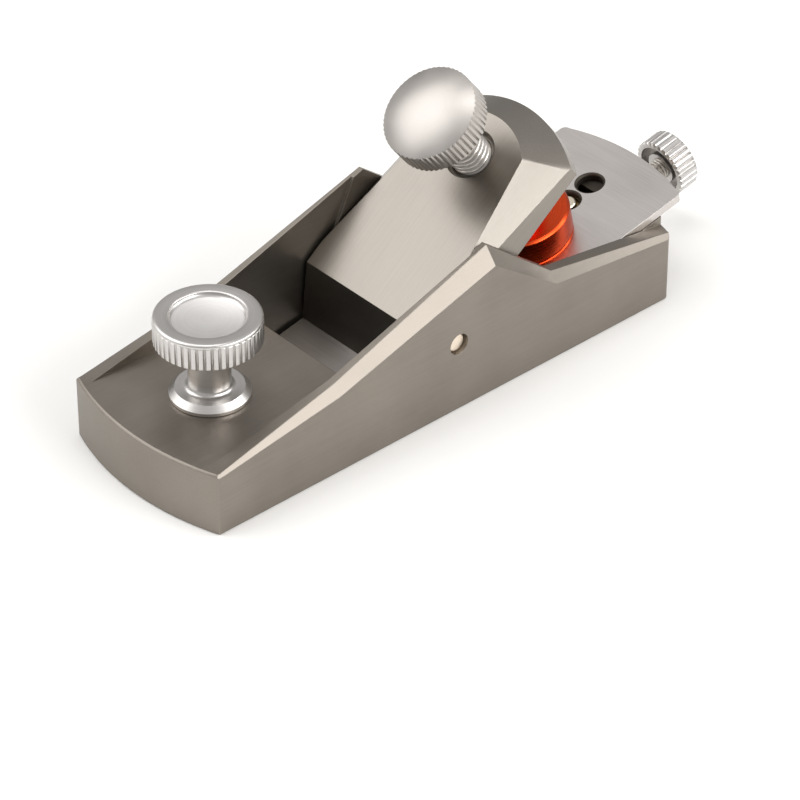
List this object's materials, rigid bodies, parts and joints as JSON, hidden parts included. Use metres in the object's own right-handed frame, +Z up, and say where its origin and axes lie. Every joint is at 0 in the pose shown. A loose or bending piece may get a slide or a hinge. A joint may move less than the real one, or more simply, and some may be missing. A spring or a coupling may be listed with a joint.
{
  "type": "hand plane",
  "caption": "Low-angle block plane: machined steel body with a bedded iron, pivoting lever cap with thumbscrew and ball-jointed pad, front knob and rear depth adjuster.",
  "frame": {"origin": "middle of the sole's underside, half way between the toe and heel corners and between the two sides", "axes": "+X from toe to heel, +Y to the far side wall (right-handed with X and Z), +Z up from the sole towards the knobs"},
  "size_m": [0.1624, 0.0474, 0.0658],
  "materials": {
    "body_steel": "fine bead-blasted and ground stainless steel, satin",
    "cap_steel": "bead-blasted stainless steel, satin",
    "blade_steel": "ground tool steel with a bright honed bevel",
    "knob_metal": "turned and knurled bright metal",
    "screw_steel": "machined steel thread",
    "pin_steel": "ground steel pin",
    "pad_red": "orange-red anodised turned aluminium",
    "brass": "turned brass"
  },
  "bodies": {
    "frame_body": {"plane_body": "body_steel", "cross_pin": "pin_steel", "adjuster_bush": "brass"},
    "front_grip": {"front_knob": "knob_metal", "front_knob_stud": "screw_steel"},
    "lever": {"lever_cap": "cap_steel"},
    "screw_foot": {"pad_ball": "pin_steel"},
    "lever_screw": {"lever_screw_knob": "knob_metal", "lever_screw_stem": "screw_steel"},
    "clamp_pad": {"clamp_pad_upper": "pad_red", "clamp_pad_lower": "pad_red"},
    "iron": {"blade": "blade_steel", "adjuster_carriage": "brass", "adjuster_driver_pin": "brass", "thrust_washer_front": "brass", "thrust_washer_rear": "brass"},
    "adjuster": {"adjuster_spindle": "screw_steel", "adjuster_knob": "knob_metal", "knob_grub_screw": "screw_steel", "spindle_clip": "pin_steel"}
  },
  "joints": [
    {"name": "front_knob_turn", "type": "hinge", "parent": "frame_body", "child": "front_grip", "pos_m": [-0.048, 0, 0.01522], "axis": [0, 0, 1], "range_deg": [0, 90]},
    {"name": "cap_tilt", "type": "hinge", "parent": "frame_body", "child": "lever", "pos_m": [0.00182, 0, 0.01698], "axis": [0, 1, 0], "range_deg": [0, 4]},
    {"name": "screw_advance", "type": "slide", "parent": "lever", "child": "screw_foot", "axis": [-0.6157, 0, 0.788], "range_m": [0, 0.003]},
    {"name": "screw_turn", "type": "hinge", "parent": "screw_foot", "child": "lever_screw", "pos_m": [0.03913, 0, 0.02737], "axis": [-0.6157, 0, 0.788], "range_deg": [0, 720]},
    {"name": "pad_swivel", "type": "hinge", "parent": "screw_foot", "child": "clamp_pad", "pos_m": [0.03913, 0, 0.02737], "axis": [0, 1, 0], "range_deg": [-4, 0]},
    {"name": "blade_depth", "type": "slide", "parent": "frame_body", "child": "iron", "axis": [-0.9781, 0, -0.2079], "range_m": [-0.003, 0.0006]},
    {"name": "adjuster_turn", "type": "hinge", "parent": "iron", "child": "adjuster", "pos_m": [0.0581, 0, 0.00844], "axis": [-0.9781, 0, -0.2079], "range_deg": [-1350.1, 270.1]}
  ],
  "couplings": [
    {"joint": "cap_tilt", "follows": "screw_turn", "ratio": 0.0055507},
    {"joint": "screw_advance", "follows": "screw_turn", "m_per_rad": 0.00023873},
    {"joint": "pad_swivel", "follows": "screw_turn", "ratio": -0.0055507},
    {"joint": "adjuster_turn", "follows": "blade_depth", "rad_per_m": 7854}
  ]
}
